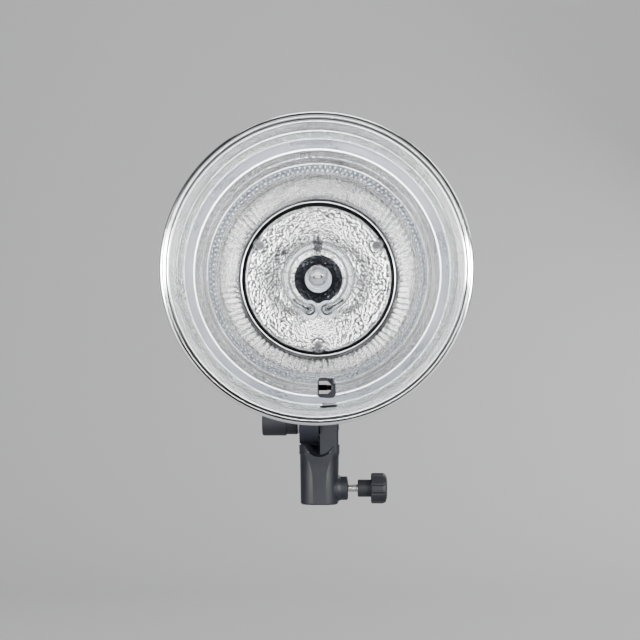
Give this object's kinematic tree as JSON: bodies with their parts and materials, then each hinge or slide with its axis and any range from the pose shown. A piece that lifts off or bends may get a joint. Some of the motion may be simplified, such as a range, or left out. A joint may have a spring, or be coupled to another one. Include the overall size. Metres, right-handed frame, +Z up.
{
  "type": "monolight strobe",
  "caption": "Studio flash head with a round silver reflector, ring flash tube and modelling lamp, on a tilting bracket with a stand socket and umbrella holder.",
  "frame": {"origin": "centre of the stand socket's mouth, at the bottom of the bracket", "axes": "+Z up along the stand socket, -Y the way the light leaves, +X to the right of someone facing the reflector"},
  "size_m": [0.1814, 0.378, 0.2488],
  "materials": {
    "bracket_plastic": "fine grained, matte black",
    "bracket_metal": "black, satin",
    "knob_plastic": "matte black",
    "steel": "zinc plated",
    "brass": "turned",
    "nylon": "natural white nylon",
    "fibre": "friction disc",
    "casing": "dark grey powder coat",
    "frame_plastic": "black, fine grained",
    "mount_steel": "turned",
    "reflector_silver": "spun, fluted and beaded, bright",
    "hammered_silver": "hammered, bright",
    "dark_well": "dark anodised",
    "ceramic": "white, unglazed",
    "tube_glass": "clear quartz",
    "lamp_glass": "clear",
    "wire": "bare nickel wire",
    "chrome_metal": "nickel plated",
    "grip_rubber": "ribbed",
    "panel": "smooth satin panel",
    "key_grey": "light grey keys",
    "test_red": "red",
    "window": "smoked",
    "sensor_red": "translucent red",
    "display": "dark display",
    "board": "green circuit board",
    "capacitor": "sleeved",
    "rocker": "black"
  },
  "bodies": {
    "stand_bracket": {"stand_socket": "bracket_plastic", "clamp_insert": "brass", "tilt_nut": "steel", "friction_washer": "fibre"},
    "clamp_pad": {"stand_clamp_pad": "brass"},
    "clamp_knob": {"stand_clamp_screw": "steel", "stand_clamp_knob": "knob_plastic"},
    "tilt_bolt": {"tilt_screw": "steel", "lever_retaining_screw": "steel", "lever_spring": "steel"},
    "tilt_handle": {"tilt_lever": "knob_plastic"},
    "head": {"tilt_arm": "bracket_metal", "housing_upper": "casing", "housing_lower": "casing", "casing_screws": "steel", "rear_frame": "frame_plastic", "front_bezel": "frame_plastic", "mount_ring": "mount_steel", "front_screws": "steel", "bulkhead": "frame_plastic", "reflector_plate": "hammered_silver", "lamp_well": "dark_well", "tube_socket": "ceramic", "lamp_holder": "ceramic", "rear_panel": "panel", "panel_screws": "steel", "display_window": "window", "display_module": "display", "slave_sensor": "sensor_red", "sync_jack": "chrome_metal", "mains_inlet": "rocker", "inlet_pins": "chrome_metal", "control_board": "board", "power_board": "board", "flash_capacitors": "capacitor", "trigger_transformer": "capacitor", "fan_frame": "frame_plastic", "carry_handle": "frame_plastic", "handle_grip": "grip_rubber"},
    "tube": {"flash_tube": "tube_glass", "tube_electrodes": "chrome_metal", "trigger_wire": "wire"},
    "modelling_lamp": {"lamp_bulb": "lamp_glass", "lamp_base": "ceramic", "lamp_filament": "wire"},
    "reflector": {"reflector_bowl": "reflector_silver", "reflector_collar": "mount_steel", "collar_rivets": "steel"},
    "latch": {"mount_latch": "knob_plastic"},
    "fan": {"fan_rotor": "knob_plastic"},
    "encoder": {"encoder_plunger": "steel"},
    "dial": {"control_dial": "knob_plastic"},
    "lamp_key": {"lamp_button": "key_grey"},
    "sound_key": {"sound_button": "key_grey"},
    "slave_key": {"slave_button": "key_grey"},
    "test_key": {"test_button": "test_red"},
    "rocker": {"power_rocker": "rocker"},
    "drawer": {"fuse_drawer": "rocker"},
    "umbrella_tip": {"umbrella_screw_tip": "nylon"},
    "umbrella_clamp": {"umbrella_screw": "knob_plastic"}
  },
  "joints": [
    {"name": "stand_clamp_advance", "type": "slide", "parent": "stand_bracket", "child": "clamp_pad", "axis": [1, 0, 0], "range_m": [-0.00025, 0.005]},
    {"name": "stand_clamp_turn", "type": "hinge", "parent": "clamp_pad", "child": "clamp_knob", "pos_m": [0.03, 0, 0.0108], "axis": [1, 0, 0], "range_deg": [-92, 1805]},
    {"name": "tilt_lever_turn", "type": "hinge", "parent": "stand_bracket", "child": "tilt_bolt", "pos_m": [0, 0, 0.057], "axis": [1, 0, 0], "range_deg": [-120, 0]},
    {"name": "tilt_lever_pull", "type": "slide", "parent": "tilt_bolt", "child": "tilt_handle", "axis": [-1, 0, 0], "range_m": [0, 0.003], "stiffness_N_per_m": 500, "springref_m": -0.003, "deforming": ["lever_spring"]},
    {"name": "head_tilt", "type": "hinge", "parent": "stand_bracket", "child": "head", "pos_m": [0, 0, 0.057], "axis": [1, 0, 0], "range_deg": [-60, 65]},
    {"name": "tube_pull", "type": "slide", "parent": "head", "child": "tube", "axis": [0, -1, 0], "range_m": [0, 0.025]},
    {"name": "lamp_pull", "type": "slide", "parent": "head", "child": "modelling_lamp", "axis": [0, -1, 0], "range_m": [0, 0.03]},
    {"name": "reflector_twist", "type": "hinge", "parent": "head", "child": "reflector", "pos_m": [0, -0.085, 0.15], "axis": [0, -1, 0], "range_deg": [0, 35]},
    {"name": "latch_slide", "type": "slide", "parent": "head", "child": "latch", "axis": [0, 1, 0], "range_m": [0, 0.004], "stiffness_N_per_m": 400, "springref_m": -0.002},
    {"name": "fan_spin", "type": "hinge", "parent": "head", "child": "fan", "pos_m": [0, 0.11, 0.15], "axis": [0, 1, 0], "continuous": true},
    {"name": "dial_push", "type": "slide", "parent": "head", "child": "encoder", "axis": [0, -1, 0], "range_m": [0, 0.0005], "stiffness_N_per_m": 1500, "springref_m": -0.0008},
    {"name": "dial_turn", "type": "hinge", "parent": "encoder", "child": "dial", "pos_m": [0, 0.165, 0.146], "axis": [0, 1, 0], "continuous": true},
    {"name": "lamp_key_press", "type": "slide", "parent": "head", "child": "lamp_key", "axis": [0, -1, 0], "range_m": [0, 0.001], "stiffness_N_per_m": 400, "springref_m": -0.0008},
    {"name": "sound_key_press", "type": "slide", "parent": "head", "child": "sound_key", "axis": [0, -1, 0], "range_m": [0, 0.001], "stiffness_N_per_m": 400, "springref_m": -0.0008},
    {"name": "slave_key_press", "type": "slide", "parent": "head", "child": "slave_key", "axis": [0, -1, 0], "range_m": [0, 0.001], "stiffness_N_per_m": 400, "springref_m": -0.0008},
    {"name": "test_key_press", "type": "slide", "parent": "head", "child": "test_key", "axis": [0, -1, 0], "range_m": [0, 0.001], "stiffness_N_per_m": 400, "springref_m": -0.0008},
    {"name": "rocker_tip", "type": "hinge", "parent": "head", "child": "rocker", "pos_m": [-0.018, 0.16, 0.1142], "axis": [-1, 0, 0], "range_deg": [0, 16]},
    {"name": "drawer_pull", "type": "slide", "parent": "head", "child": "drawer", "axis": [0, 1, 0], "range_m": [0, 0.015]},
    {"name": "umbrella_clamp_advance", "type": "slide", "parent": "head", "child": "umbrella_tip", "axis": [-1, 0, 0], "range_m": [0, 0.0076]},
    {"name": "umbrella_clamp_turn", "type": "hinge", "parent": "umbrella_tip", "child": "umbrella_clamp", "pos_m": [-0.008, 0, 0.08], "axis": [-1, 0, 0], "range_deg": [-2, 3915]}
  ],
  "couplings": [
    {"joint": "stand_clamp_turn", "follows": "stand_clamp_advance", "rad_per_m": 6283.2},
    {"joint": "umbrella_clamp_turn", "follows": "umbrella_clamp_advance", "rad_per_m": 8976}
  ]
}
